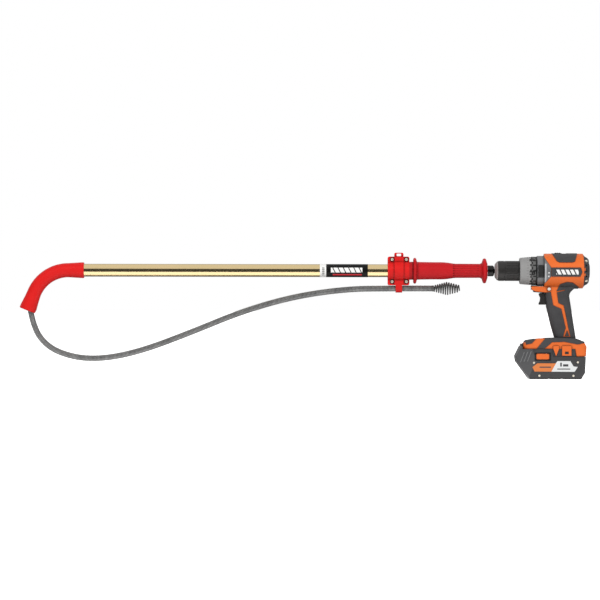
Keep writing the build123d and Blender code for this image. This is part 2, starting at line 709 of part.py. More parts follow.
with BuildPart() as motor_rotor:
    bar_x(196.0, 272.0, 3.0)
    bar_x(196.0, 204.0, 4.2)
    bar_x(212.0, 251.0, 15.0)
motor_rotor.part.label = "motor_rotor"
export_step(motor_rotor.part, "parts/motor_rotor.step")

with BuildPart() as cooling_fan:
    bar_x(256.0, 257.6, 26.0, 3.02)
    bar_x(256.0, 264.0, 7.0, 3.02)
    with BuildSketch(Plane.YZ.offset(257.4)):
        with PolarLocations(16.0, 12):
            Rectangle(19.0, 1.2)
    extrude(amount=6.6)
cooling_fan.part.label = "cooling_fan"
export_step(cooling_fan.part, "parts/cooling_fan.step")

with BuildPart() as rear_bearing:
    bar_x(266.5, 271.5, 8.0, 3.0 + RUN_FIT)
rear_bearing.part.label = "rear_bearing"
export_step(rear_bearing.part, "parts/rear_bearing.step")


with BuildPart() as bearing_plate:
    bar_x(267.0, 271.0, BARREL_R - WALL - 0.1, 8.05)
    with BuildSketch(Plane.YZ.offset(266.0)):
        with PolarLocations(20.5, 6):
            RectangleRounded(15.0, 12.0, 3.0)
    extrude(amount=6, mode=Mode.SUBTRACT)
bearing_plate.part.label = "bearing_plate"
export_step(bearing_plate.part, "parts/bearing_plate.step")

# ---------------------------------------------------------------- drill: housing
FOOT_OUTLINE = [
    (153.4, -160.4),
    (155.0, -153.0),
    (163.0, -146.0),
    (188.0, -141.8),
    (224.0, -140.6),
    (266.0, -142.4),
    (281.0, -148.5),
    (287.4, -159.0),
    (285.6, -178.6),
    (265.6, -178.6),
    (263.0, -163.1),
    (153.6, -163.1),
]
NOSE_OUTLINE = [
    (172.6, -33.0),
    (173.2, -38.6),
    (180.0, -42.6),
    (204.0, -45.0),
    (218.0, -30.0),
    (202.0, -28.0),
    (201.6, -32.6),
    (176.0, -32.6),
]
# tabs that hang from the foot over the battery's sides, and the window in the wider one
FOOT_TABS = [
    [(216.8, -157.0), (228.4, -157.0), (228.4, -163.2), (222.6, -178.4), (216.8, -163.2)],
    [(235.2, -157.0), (254.6, -157.0), (254.6, -177.2), (235.2, -177.2)],
]
TAB_Y = (37.0, 38.0)
TAB_WINDOW = ((241.0, 249.0), (-174.0, -168.6))
TRIGGER_POCKET = ((184.0, 229.5), (-8.9, 8.9), (-71.6, -45.4))
SPEED_SLOT = ((218.0, 246.0), (-7.4, 7.4), (28.0, 40.0))
DIRECTION_X, DIRECTION_Z, DIRECTION_R = 209.2, -38.0, 3.4
HANDLE_SCREWS = [(244.0, -84.0), (233.0, -128.0), (254.5, -134.0)]
FOOT_SCREWS = [(172.0, -152.0), (274.0, -158.0)]


def handle(grow, mode=Mode.ADD):
    """The slanted handle, through its rounded sections."""
    sections = []
    for z, front, back, half_w, corner in HANDLE_SECTIONS:
        with BuildSketch(Plane(origin=((front + back) / 2, 0, z))) as section:
            RectangleRounded(back - front + 2 * grow, 2 * (half_w + grow), corner + grow)
        sections.append(section.sketch.face())
    loft(sections, ruled=True, mode=mode)


def slab(outline, half_w, corner, grow=0.0):
    """A block with an (X, Z) outline and rounded corners in plan."""
    x0 = min(x for x, z in outline)
    x1 = max(x for x, z in outline)
    with BuildPart() as shape:
        with BuildSketch(Plane.XZ):
            with BuildLine():
                Polyline(*outline, close=True)
            make_face()
            if grow:
                offset(amount=grow, kind=Kind.INTERSECTION)
        extrude(amount=half_w + grow, both=True)
        with BuildSketch(Plane(origin=((x0 + x1) / 2, 0, -300))):
            RectangleRounded(x1 - x0 + 2 * grow, 2 * (half_w + grow), corner + grow)
        extrude(amount=300, mode=Mode.INTERSECT)
    return shape.part


def cross_bars(places, radius, y0, y1, mode=Mode.ADD):
    """Round bars across the drill, at (X, Z) places."""
    with BuildSketch(Plane.XZ.offset(-y1)) as ends:
        with Locations(*places):
            Circle(radius)
    extrude(ends.sketch, amount=y1 - y0, mode=mode)


with BuildPart() as housing_outer:
    bar_x(BARREL_X0, BARREL_X1, BARREL_R)
    fillet(housing_outer.edges().filter_by(GeomType.CIRCLE), 2.0)
    handle(0)
    add(slab(FOOT_OUTLINE, FOOT_HALF_W, 13.0))
    side_plate(NOSE_OUTLINE, -15.0, 15.0)

with BuildPart() as foot_tabs:
    for outline in FOOT_TABS:
        side_plate(outline, *TAB_Y)
        block((outline[0][0], outline[1][0]), (FOOT_HALF_W - 1, TAB_Y[1]), (-163.1, -157.0))
    block(TAB_WINDOW[0], (TAB_Y[0] - 1, TAB_Y[1] + 1), TAB_WINDOW[1], mode=Mode.SUBTRACT)
    mirror(about=Plane.XZ)

with BuildPart() as housing_whole:
    add(housing_outer.part)
    add(foot_tabs.part)
    # hollow barrel and handle, then the bosses for the screws
    bar_x(BARREL_X0 - 9, BARREL_X1 + 9, BARREL_R - WALL, mode=Mode.SUBTRACT)
    handle(-WALL, mode=Mode.SUBTRACT)
    block((166.0, 276.0), (-FOOT_HALF_W + WALL, FOOT_HALF_W - WALL), (-149.8, -145.4), mode=Mode.SUBTRACT)
    cross_bars(HANDLE_SCREWS, 3.8, -16.0, 16.0)
    # battery rails: a slot with lips, open at the front
    rail_slot_half_w = RAIL_HALF_W + 0.4
    block((150.0, RAIL_X1 + 0.6), (-rail_slot_half_w, rail_slot_half_w), (-159.8, -151.8), mode=Mode.SUBTRACT)
    block((150.0, RAIL_X1 + 0.6), (-21.0, 21.0), (-164.0, -159.0), mode=Mode.SUBTRACT)
    block((227.9, 250.1), (-14.1, 14.1), (-153.0, -149.0), mode=Mode.SUBTRACT)
    # notches in front, and openings for the trigger, the switches and the lamp
    side_plate(CHEVRON, -BARREL_R - 1, BARREL_R + 1, mode=Mode.SUBTRACT)
    block(*TRIGGER_POCKET, mode=Mode.SUBTRACT)
    block(*SPEED_SLOT, mode=Mode.SUBTRACT)
    cross_bars([(DIRECTION_X, DIRECTION_Z)], DIRECTION_R + 0.1, -30, 30, mode=Mode.SUBTRACT)
    block((171.0, 177.0), (-5.1, 5.1), (-40.0, -34.6), mode=Mode.SUBTRACT)
    # screw holes, with the heads let into the right side
    cross_bars(HANDLE_SCREWS, 1.65, -10.0, 20.0, mode=Mode.SUBTRACT)
    cross_bars(HANDLE_SCREWS, 3.3, 13.5, 20.0, mode=Mode.SUBTRACT)
    cross_bars(FOOT_SCREWS, 1.65, 25.6, 37.0, mode=Mode.SUBTRACT)
    cross_bars(FOOT_SCREWS, 3.3, 33.0, 37.0, mode=Mode.SUBTRACT)

with BuildPart() as housing_left:
    add(housing_whole.part)
    split(bisect_by=Plane.XZ, keep=Keep.TOP)
housing_left.part.label = "housing_left"
export_step(housing_left.part, "parts/housing_left.step")

with BuildPart() as housing_right:
    add(housing_whole.part)
    split(bisect_by=Plane.XZ, keep=Keep.BOTTOM)
housing_right.part.label = "housing_right"
export_step(housing_right.part, "parts/housing_right.step")

with BuildPart() as housing_screws:
    cross_bars(HANDLE_SCREWS, 1.6, -9.5, 14.0)
    cross_bars(HANDLE_SCREWS, 3.1, 13.6, 15.6)
    cross_bars(FOOT_SCREWS, 1.6, 26.0, 34.0)
    cross_bars(FOOT_SCREWS, 3.1, 33.1, 35.2)
housing_screws.part.label = "housing_screws"
export_step(housing_screws.part, "parts/housing_screws.step")

# ---------------------------------------------------------------- drill: rubber pads
PAD_OUTLINES = [
    # top of the barrel
    [(213, 42), (270, 42), (262, 20), (257, 18), (230, 18), (224, 21)],
    # band along the middle of the barrel
    [(212.8, 6.8), (274, 6.8), (277, -2.5), (273, -12.0), (212.8, -12.0)],
    # handle, in front of the coloured stripe
    [
        (195, -47),
        (212.6, -44),
        (217.8, -72),
        (234.8, -79.5),
        (244.0, -119),
        (238.6, -137.6),
        (257, -137.6),
        (257, -141.5),
        (210, -141.5),
    ],
    # small triangle at the foot of the stripe
    [(247.0, -124.5), (242.4, -136), (251.2, -136)],
    # arch under the barrel and the back of the handle
    [
        (225, -42.4),
        (232, -28),
        (246, -23.5),
        (258, -25),
        (271, -34),
        (275, -141.5),
        (254.6, -141.5),
        (254.2, -137.6),
        (250.3, -122),
        (240, -72),
        (229, -67),
        (225.6, -44.8),
        (242, -41.0),
        (242, -39.2),
    ],
]
# strips along the top and the underside of the nose below the barrel, as (X, Z)
NOSE_STRIP_HALF_W = 12.0
NOSE_STRIPS = [
    [
        (172.6, -33.0),
        (172.6, -30.4),
        (183.8, -30.4),
        (183.8, -32.0),
        (198.6, -32.0),
        (198.6, -32.6),
        (176.0, -32.6),
    ],
    [(177.3, -41.0), (180.0, -42.6), (200.5, -44.7), (200.5, -46.2), (179.4, -44.4), (177.3, -43.0)],
]
FOOT_PAD_OUTLINES = [
    [
        (203, -138),
        (272, -138),
        (284, -150),
        (268, -153.5),
        (240, -148),
        (214, -149),
        (197, -164),
        (181, -164),
    ],
    [(158, -146), (181, -141.5), (172, -151.5), (160, -154)],
]
with BuildPart() as overmould_whole:
    bar_x(BARREL_X0 + 2, BARREL_X1 - 2, BARREL_R + PAD_PROUD)
    handle(PAD_PROUD)
    with BuildSketch(Plane.XZ):
        for corners in PAD_OUTLINES:
            with BuildLine():
                Polyline(*corners, close=True)
            make_face()
    extrude(amount=60, both=True, mode=Mode.INTERSECT)
    for outline in NOSE_STRIPS:
        side_plate(outline, -NOSE_STRIP_HALF_W, NOSE_STRIP_HALF_W)
    add(housing_outer.part, mode=Mode.SUBTRACT)
    block(*TRIGGER_POCKET, mode=Mode.SUBTRACT)
    block(*SPEED_SLOT, mode=Mode.SUBTRACT)
    cross_bars(HANDLE_SCREWS, 3.3, 10.0, 20.0, mode=Mode.SUBTRACT)

with BuildPart() as foot_pad_whole:
    add(slab(FOOT_OUTLINE, FOOT_HALF_W, 13.0, PAD_PROUD))
    with BuildSketch(Plane.XZ):
        for corners in FOOT_PAD_OUTLINES:
            with BuildLine():
                Polyline(*corners, close=True)
            make_face()
    extrude(amount=60, both=True, mode=Mode.INTERSECT)
    add(housing_outer.part, mode=Mode.SUBTRACT)
    block((140, 300), (-60, 60), (-190, -162.8), mode=Mode.SUBTRACT)
    handle(PAD_PROUD + 0.01, mode=Mode.SUBTRACT)
    cross_bars(FOOT_SCREWS, 3.3, 30.0, 40.0, mode=Mode.SUBTRACT)

for side, kept in (("left", Keep.TOP), ("right", Keep.BOTTOM)):
    with BuildPart() as overmould:
        add(overmould_whole.part)
        add(foot_pad_whole.part)
        split(bisect_by=Plane.XZ, keep=kept)
    overmould.part.label = f"overmould_{side}"
    export_step(overmould.part, f"parts/overmould_{side}.step")

# ---------------------------------------------------------------- drill: rear cap
CAP_SCREWS = [(y, z) for y in (-20.5, 20.5) for z in (-20.5, 20.5)]
with BuildPart() as rear_cap:
    turned(
        [
            (276.5, 30.5),
            (276.5, BARREL_R - WALL - 0.1),
            (BARREL_X1 + 0.4, BARREL_R - WALL - 0.1),
            (BARREL_X1 + 4, CAP_R + 1.2),
            (CAP_X1 - 3, CAP_R - 0.8),
            (CAP_X1, CAP_R - 4),
            (CAP_X1, CAP_HUB_R + 1),
            (CAP_HUB_X1, CAP_HUB_R - 1),
            (CAP_HUB_X1, 0),
            (CAP_X1 - 3, 0),
            (CAP_X1 - 3, CAP_R - 6),
            (BARREL_X1 + 1, CAP_R - 2),
        ]
    )
    # vents around the rim
    with BuildSketch(Plane.YZ.offset(BARREL_X1 + 3.6)):
        with PolarLocations(28.0, 16):
            Rectangle(9.0, 4.2)
    extrude(amount=3.2, mode=Mode.SUBTRACT)
    with BuildSketch(Plane.YZ.offset(BARREL_X1 - 1)):
        with Locations(*CAP_SCREWS):
            Circle(2.5)
    extrude(amount=20, mode=Mode.SUBTRACT)
rear_cap.part.label = "rear_cap"
export_step(rear_cap.part, "parts/rear_cap.step")

with BuildPart() as cap_screws:
    with BuildSketch(Plane.YZ.offset(BARREL_X1 - 0.9)):
        with Locations(*CAP_SCREWS):
            Circle(2.45)
    extrude(amount=8.5)
    with BuildSketch(Plane.YZ.offset(BARREL_X1 + 6.8)):
        with Locations(*CAP_SCREWS):
            Rectangle(3.0, 0.8)
    extrude(amount=2, mode=Mode.SUBTRACT)
cap_screws.part.label = "cap_screws"
export_step(cap_screws.part, "parts/cap_screws.step")

# ---------------------------------------------------------------- drill: controls
with BuildPart() as trigger:
    side_plate(
        [
            (192.0, -46.0),
            (189.2, -47.2),
            (188.8, -49.5),
            (191.6, -56.0),
            (191.2, -62.5),
            (188.4, -68.6),
            (189.4, -70.8),
            (222.0, -70.8),
            (222.0, -46.0),
        ],
        -8.4,
        8.4,
    )
    front_edges = trigger.edges().filter_by(Plane.XZ).filter_by_position(Axis.X, 180, 195)
    fillet(front_edges, 1.6)
trigger.part.label = "trigger"
export_step(trigger.part, "parts/trigger.step")

with BuildPart() as switch_module:
    block((230.0, 245.0), (-10.5, 10.5), (-72.0, -48.0))
switch_module.part.label = "switch_module"
export_step(switch_module.part, "parts/switch_module.step")

with BuildPart() as direction_button:
    cross_bars([(DIRECTION_X, DIRECTION_Z)], DIRECTION_R, -20.6, 20.6)
    fillet(direction_button.edges().filter_by(GeomType.CIRCLE), 1.0)
direction_button.part.label = "direction_button"
export_step(direction_button.part, "parts/direction_button.step")

with BuildPart() as speed_switch:
    block((220.0, 236.0), (-7.0, 7.0), (31.0, 37.4))
    for rib in range(3):
        block((223.0 + 4 * rib, 225.4 + 4 * rib), (-6.0, 6.0), (37.0, 38.4))
    chamfer(speed_switch.edges().group_by(Axis.Z)[-1], 0.4)
speed_switch.part.label = "speed_switch"
export_step(speed_switch.part, "parts/speed_switch.step")

with BuildPart() as led_lens:
    block((172.0, 176.9), (-5.0, 5.0), (-39.9, -34.7))
    fillet(led_lens.edges().filter_by(Axis.X), 1.2)
led_lens.part.label = "led_lens"
export_step(led_lens.part, "parts/led_lens.step")

with BuildPart() as control_board:
    block((170.0, 218.0), (-28.0, 28.0), (-149.3, -147.7))
    block((176.0, 190.0), (-8.0, 8.0), (-147.7, -146.0))
control_board.part.label = "control_board"
export_step(control_board.part, "parts/control_board.step")

with BuildPart() as foot_terminals:
    block((228.0, 250.0), (-14.0, 14.0), (-151.7, -146.0))
    for blade_y in (-10.5, -3.5, 3.5, 10.5):
        block((230.0, 250.0), (blade_y - 0.6, blade_y + 0.6), (-158.5, -151.7))
foot_terminals.part.label = "foot_terminals"
export_step(foot_terminals.part, "parts/foot_terminals.step")

# ---------------------------------------------------------------- battery pack
BATTERY_OUTLINE = [
    (151.6, -157.2),
    (149.6, -157.6),
    (138.8, -178.6),
    (140.8, -189.4),
    (168.0, -226.4),
    (275.0, -226.4),
    (283.6, -213.0),
    (285.4, -179.4),
    (264.6, -179.4),
    (262.0, -163.6),
    (152.6, -163.6),
    (152.6, -160.0),
]
BATTERY_HOLLOW = [
    (147.5, -172.0),
    (142.6, -180.0),
    (144.4, -188.4),
    (170.4, -223.9),
    (273.6, -223.9),
    (281.1, -212.0),
    (282.8, -182.0),
    (262.2, -182.0),
    (259.6, -166.2),
    (150.0, -166.2),
]
BUTTON_X, BUTTON_Z = (181.2, 208.2), (-185.2, -173.2)
LABEL_OUTLINE = [
    (173.0, -201.0),
    (183.6, -193.2),
    (221.6, -193.2),
    (225.6, -188.4),
    (252.4, -188.4),
    (259.0, -199.6),
    (267.8, -200.6),
    (261.2, -210.8),
    (177.6, -210.4),
]
# shallow recess in both sides for the foot's tabs, open at the rear
TAB_RECESS_Y = 36.8
TAB_RECESS = [(213.6, -160.0), (213.6, -172.0), (217.0, -179.6), (290.0, -179.6), (290.0, -160.0)]
PACK_SCREWS = [(176.4, -192.0), (268.0, -191.0), (187.7, -219.0), (258.9, -219.3)]

with BuildPart() as battery_whole:
    add(slab(BATTERY_OUTLINE, BATTERY_HALF_W, 9.0))
    add(slab(BATTERY_HOLLOW, BATTERY_HALF_W - 2.4, 7.0), mode=Mode.SUBTRACT)
    # rail that the drill's foot holds
    block((150.4, RAIL_X1), (-RAIL_HALF_W, RAIL_HALF_W), (-159.4, RAIL_TOP_Z))
    block((150.4, RAIL_X1), (-20.6, 20.6), (-166.0, -159.0))
    for slot_y in (-10.5, -3.5, 3.5, 10.5):
        block((226.0, RAIL_X1 + 1), (slot_y - 1.3, slot_y + 1.3), (-162.0, -152.0), mode=Mode.SUBTRACT)
    # windows for the release buttons
    window_x = (BUTTON_X[0] - 0.3, BUTTON_X[1] + 0.3)
    window_z = (BUTTON_Z[0] - 0.3, BUTTON_Z[1] + 0.3)
    block(window_x, (-50, 50), window_z, mode=Mode.SUBTRACT)
    side_plate(TAB_RECESS, TAB_RECESS_Y, BATTERY_HALF_W + 1, mode=Mode.SUBTRACT)
    side_plate(TAB_RECESS, -BATTERY_HALF_W - 1, -TAB_RECESS_Y, mode=Mode.SUBTRACT)
    # screw holes in both sides
    cross_bars(PACK_SCREWS, 2.3, -40, -35.8, mode=Mode.SUBTRACT)
    cross_bars(PACK_SCREWS, 2.3, 35.8, 40, mode=Mode.SUBTRACT)

with BuildPart() as battery_top_case:
    add(battery_whole.part)
    split(bisect_by=Plane.XY.offset(BATTERY_SPLIT_Z), keep=Keep.TOP)
battery_top_case.part.label = "battery_top_case"
export_step(battery_top_case.part, "parts/battery_top_case.step")

with BuildPart() as battery_bottom_case:
    add(battery_whole.part)
    split(bisect_by=Plane.XY.offset(BATTERY_SPLIT_Z), keep=Keep.BOTTOM)
    # shallow grooves across the base
    for groove_x in (205.0, 232.0):
        block((groove_x, groove_x + 6), (-60, 60), (BATTERY_Z0 - 1, BATTERY_Z0 + 1), mode=Mode.SUBTRACT)
battery_bottom_case.part.label = "battery_bottom_case"
export_step(battery_bottom_case.part, "parts/battery_bottom_case.step")

with BuildPart() as battery_cells:
    for row_z in (-213.8, -194.6):
        cross_bars([(184.0 + 19.1 * column, row_z) for column in range(5)], 9.1, -32.5, 32.5)
battery_cells.part.label = "battery_cells"
export_step(battery_cells.part, "parts/battery_cells.step")

with BuildPart() as battery_board:
    block((160.0, 250.0), (-28.0, 28.0), (-171.4, -169.8))
battery_board.part.label = "battery_board"
export_step(battery_board.part, "parts/battery_board.step")

with BuildPart() as battery_contacts:
    for slot_y in (-10.5, -3.5, 3.5, 10.5):
        block((226.2, 246.0), (slot_y - 1.2, slot_y + 1.2), (-161.8, -160.6))
battery_contacts.part.label = "battery_contacts"
export_step(battery_contacts.part, "parts/battery_contacts.step")

with BuildPart() as battery_labels:
    side_plate(LABEL_OUTLINE, -BATTERY_HALF_W - 0.4, -BATTERY_HALF_W)
    side_plate(LABEL_OUTLINE, BATTERY_HALF_W, BATTERY_HALF_W + 0.4)
battery_labels.part.label = "battery_labels"
export_step(battery_labels.part, "parts/battery_labels.step")

with BuildPart() as battery_screws:
    cross_bars(PACK_SCREWS, 2.2, -38.4, -36.0)
    cross_bars(PACK_SCREWS, 2.2, 36.0, 38.4)
battery_screws.part.label = "battery_screws"
export_step(battery_screws.part, "parts/battery_screws.step")

for side, sign in (("left", -1), ("right", 1)):
    with BuildPart() as release_button:
        inner_y, outer_y = sorted((sign * 33.4, sign * (BATTERY_HALF_W + 0.9)))
        block(BUTTON_X, (inner_y, outer_y), BUTTON_Z)
        fillet(release_button.edges().filter_by(Axis.Y), 3.0)
        chamfer(release_button.faces().sort_by(Axis.Y)[0 if sign < 0 else -1].edges(), 0.8)
    release_button.part.label = f"release_button_{side}"
    export_step(release_button.part, f"parts/release_button_{side}.step")
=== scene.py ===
"""Looks of the drain snake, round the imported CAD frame.

Materials, the wound cable, the battery's ribs, label print, studio and camera.
"""
import math

import bpy
import numpy as np
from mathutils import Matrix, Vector


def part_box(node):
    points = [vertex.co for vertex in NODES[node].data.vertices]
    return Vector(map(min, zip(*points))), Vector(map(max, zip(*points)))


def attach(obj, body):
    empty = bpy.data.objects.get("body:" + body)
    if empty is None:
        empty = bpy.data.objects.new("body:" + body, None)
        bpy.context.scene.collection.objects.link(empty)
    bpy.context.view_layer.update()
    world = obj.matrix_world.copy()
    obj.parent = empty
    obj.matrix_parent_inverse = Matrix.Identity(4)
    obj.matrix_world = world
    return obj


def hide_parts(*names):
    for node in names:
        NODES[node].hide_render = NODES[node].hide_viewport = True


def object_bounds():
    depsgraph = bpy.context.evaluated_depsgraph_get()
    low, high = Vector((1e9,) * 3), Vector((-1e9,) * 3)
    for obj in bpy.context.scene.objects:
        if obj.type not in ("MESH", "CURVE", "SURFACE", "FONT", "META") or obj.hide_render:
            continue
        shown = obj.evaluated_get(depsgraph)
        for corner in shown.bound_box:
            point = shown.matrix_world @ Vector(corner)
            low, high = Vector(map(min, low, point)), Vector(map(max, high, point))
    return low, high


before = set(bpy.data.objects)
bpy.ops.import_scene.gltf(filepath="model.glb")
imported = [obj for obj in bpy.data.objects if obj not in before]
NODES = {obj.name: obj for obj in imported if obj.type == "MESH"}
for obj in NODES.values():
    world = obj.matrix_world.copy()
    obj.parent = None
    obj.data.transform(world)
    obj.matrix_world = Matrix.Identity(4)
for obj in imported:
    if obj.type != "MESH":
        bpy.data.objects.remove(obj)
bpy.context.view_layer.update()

# ---------------------------------------------------------------- camera
VIEW_WIDTH = 1.26
LENS = 200.0
SENSOR = 36.0
VIEW_CENTRE = (-0.3126, -0.0618)
VIEW_ROLL = -0.1
FAR_CLIP = 100.0
camera_data = bpy.data.cameras.new("camera")
camera_data.lens = LENS
camera_data.sensor_width = SENSOR
camera_data.clip_end = FAR_CLIP
camera = bpy.data.objects.new("camera", camera_data)
camera.location = (VIEW_CENTRE[0], -VIEW_WIDTH * LENS / SENSOR, VIEW_CENTRE[1])
camera.rotation_euler = (math.radians(90), math.radians(VIEW_ROLL), 0)
bpy.context.scene.collection.objects.link(camera)
bpy.context.scene.camera = camera
bpy.context.scene.view_settings.view_transform = "Standard"


# ---------------------------------------------------------------- the outside cable
CABLE_DIAMETER = 0.0127
CABLE_ROUTE = [
    (-0.8777, -0.0876), (-0.8738, -0.108), (-0.861, -0.139), (-0.837, -0.163), (-0.803, -0.178),
    (-0.760, -0.186), (-0.706, -0.183), (-0.636, -0.166), (-0.540, -0.1295), (-0.436, -0.0865),
    (-0.3285, -0.055), (-0.218, -0.0387), (-0.126, -0.0371), (-0.036, -0.0371),
]
WIRE_DIAMETER = 0.0028
RINGS_PER_TURN = 6
CABLE_SIDES = 20
SPLINE_STEPS = 24
GROOVE_FLOOR = 0.3  # a groove's floor above the line of the wire's middle, in wire radii


def route_points():
    """Points along the cable's smooth line, read from its NURBS spline."""
    curve = bpy.data.curves.new("cable_route", "CURVE")
    curve.dimensions = "3D"
    spline = curve.splines.new("NURBS")
    spline.points.add(len(CABLE_ROUTE) - 1)
    for point, (x, z) in zip(spline.points, CABLE_ROUTE):
        point.co = (x, 0.0, z, 1.0)
    spline.order_u = 3
    spline.use_endpoint_u = True
    spline.resolution_u = SPLINE_STEPS
    carrier = bpy.data.objects.new("cable_route", curve)
    bpy.context.scene.collection.objects.link(carrier)
    mesh = bpy.data.meshes.new_from_object(carrier)
    points = np.array([v.co[:] for v in mesh.vertices])
    bpy.data.objects.remove(carrier)
    bpy.data.meshes.remove(mesh)
    return points


def wound_cable(name, line):
    """A close-wound spring cable along the line: each turn of wire is a ridge round it."""
    steps = np.linalg.norm(np.diff(line, axis=0), axis=1)
    along = np.concatenate([[0.0], np.cumsum(steps)])
    rings = int(along[-1] / WIRE_DIAMETER * RINGS_PER_TURN)
    s = np.linspace(0.0, along[-1], rings)
    centre = np.stack([np.interp(s, along, line[:, k]) for k in range(3)], axis=1)
    tangent = np.gradient(centre, axis=0)
    tangent /= np.linalg.norm(tangent, axis=1)[:, None]
    side = np.array([0.0, 1.0, 0.0])
    normal = np.cross(tangent, side)
    angle = np.arange(CABLE_SIDES) * 2 * math.pi / CABLE_SIDES
    wire = WIRE_DIAMETER / 2
    phase = s[:, None] / WIRE_DIAMETER - angle[None, :] / (2 * math.pi)
    offset = (phase - np.round(phase)) * WIRE_DIAMETER
    ridge = np.sqrt(np.maximum(wire ** 2 - offset ** 2, (GROOVE_FLOOR * wire) ** 2))
    radius = CABLE_DIAMETER / 2 - wire + ridge
    out = np.cos(angle)[None, :, None] * normal[:, None, :] + np.sin(angle)[None, :, None] * side
    points = (centre[:, None, :] + radius[:, :, None] * out).reshape(-1, 3)
    faces = []
    for i in range(rings - 1):
        here, ahead = i * CABLE_SIDES, (i + 1) * CABLE_SIDES
        for j in range(CABLE_SIDES):
            k = (j + 1) % CABLE_SIDES
            faces.append((here + j, here + k, ahead + k, ahead + j))
    faces.append(tuple(range(CABLE_SIDES))[::-1])
    faces.append(tuple((rings - 1) * CABLE_SIDES + j for j in range(CABLE_SIDES)))
    mesh = bpy.data.meshes.new(name)
    mesh.from_pydata(points.tolist(), [], faces)
    mesh.polygons.foreach_set("use_smooth", [True] * len(mesh.polygons))
    groove = mesh.attributes.new("groove", "FLOAT", "POINT")
    depth = (radius.max() - radius) / (radius.max() - radius.min())
    groove.data.foreach_set("value", depth.reshape(-1).astype(np.float32))
    mesh.update()
    piece = bpy.data.objects.new(name, mesh)
    bpy.context.scene.collection.objects.link(piece)
    return piece


line = route_points()
cable = wound_cable("wound_cable", line)
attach(cable, "guide")
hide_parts("cable_run")


# ---------------------------------------------------------------- ribs on the battery's nose
RIB_TOPS = [(0.1560, -0.1700), (0.1632, -0.1690), (0.1706, -0.1680)]
RIB_DROP = (-0.0080, -0.0215)
RIB_WIDTH = 0.0028
RIB_PROUD = 0.0005
# a rib's cross-section, as shares of its half width and of how proud it stands
RIB_SECTION = ((-1.0, -0.4), (-0.6, 1.0), (0.6, 1.0), (1.0, -0.4))


def nose_ribs():
    """Slanting ribs with a rounded top edge, in both sides of the battery's nose."""
    side_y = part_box("battery_top_case")[1].y
    box_faces = [(k, (k + 1) % 4, 4 + (k + 1) % 4, 4 + k) for k in range(4)]
    box_faces += [(3, 2, 1, 0), (4, 5, 6, 7)]
    points, faces = [], []
    for sign in (-1, 1):
        for x, z in RIB_TOPS:
            start = len(points)
            for share in (0.0, 1.0):
                for across, proud in RIB_SECTION:
                    points.append((x + share * RIB_DROP[0] + across * RIB_WIDTH / 2,
                                   sign * (side_y + proud * RIB_PROUD),
                                   z + share * RIB_DROP[1]))
            for face in box_faces:
                faces.append(tuple(start + k for k in (face if sign < 0 else face[::-1])))
    mesh = bpy.data.meshes.new("nose_ribs")
    mesh.from_pydata(points, [], faces)
    piece = bpy.data.objects.new("nose_ribs", mesh)
    bpy.context.scene.collection.objects.link(piece)
    return piece


ribs = nose_ribs()
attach(ribs, "battery")


# ---------------------------------------------------------------- material tools
MIX_COLOUR_A, MIX_COLOUR_B, MIX_COLOUR_OUT = 6, 7, 2
MIX_VALUE_A, MIX_VALUE_B, MIX_VALUE_OUT = 2, 3, 0
MARK_EDGE = 0.0001
CREVICE_REACH = 0.005
CREVICE_OPEN, CREVICE_SHUT = 0.98, 0.70
WEAR_RADIUS = 0.0006
SCUFF_SHARE, SCUFF_LIFT = 0.7, 0.15
# how much the painted shade in seams and corners darkens plastic and rubber
SEAM_SHADE = 0.8
RUBBER_SHADE = 0.7


class Nodes:
    """Shorthands for building a node tree."""

    def __init__(self, tree, coords):
        self.tree = tree
        self.coords = tree.nodes.new("ShaderNodeTexCoord").outputs[coords]

    def node(self, kind, inputs=None, **settings):
        made = self.tree.nodes.new(kind)
        for key, value in settings.items():
            setattr(made, key, value)
        for key, value in (inputs or {}).items():
            self.feed(made.inputs[key], value)
        return made

    def feed(self, socket, value):
        if isinstance(value, bpy.types.NodeSocket):
            self.tree.links.new(value, socket)
        else:
            socket.default_value = value

    def math(self, operation, a, b=None, clamp=False):
        made = self.node("ShaderNodeMath", operation=operation, use_clamp=clamp)
        self.feed(made.inputs[0], a)
        if b is not None:
            self.feed(made.inputs[1], b)
        return made.outputs[0]

    def axes(self):
        split = self.node("ShaderNodeSeparateXYZ", {0: self.coords})
        return split.outputs[0], split.outputs[1], split.outputs[2]

    def stretched(self, scale):
        return self.node("ShaderNodeMapping", {"Vector": self.coords, "Scale": scale}).outputs[0]

    def noise(self, scale, detail=3.0, roughness=0.55, vector=None):
        made = self.node("ShaderNodeTexNoise",
                         {"Scale": scale, "Detail": detail, "Roughness": roughness})
        self.feed(made.inputs["Vector"], self.coords if vector is None else vector)
        return made.outputs["Fac"]

    def cells(self, scale):
        made = self.node("ShaderNodeTexVoronoi", {"Scale": scale, "Vector": self.coords})
        return made.outputs["Distance"]

    def remap(self, value, low, high, to_low=0.0, to_high=1.0):
        ends = {"Value": value, "From Min": low, "From Max": high,
                "To Min": to_low, "To Max": to_high}
        return self.node("ShaderNodeMapRange", ends, clamp=True).outputs[0]

    def blend(self, share, a, b):
        """Between two colours."""
        ends = {0: share, MIX_COLOUR_A: a, MIX_COLOUR_B: b}
        return self.node("ShaderNodeMix", ends, data_type="RGBA").outputs[MIX_COLOUR_OUT]

    def choose(self, share, a, b):
        """Between two values."""
        ends = {0: share, MIX_VALUE_A: a, MIX_VALUE_B: b}
        return self.node("ShaderNodeMix", ends, data_type="FLOAT").outputs[MIX_VALUE_OUT]

    def span(self, value, low, high, soft=MARK_EDGE):
        """1 where value lies between low and high, with soft edges."""
        above = self.remap(value, low - soft, low + soft)
        below = self.remap(value, high - soft, high + soft, 1.0, 0.0)
        return self.math("MULTIPLY", above, below)


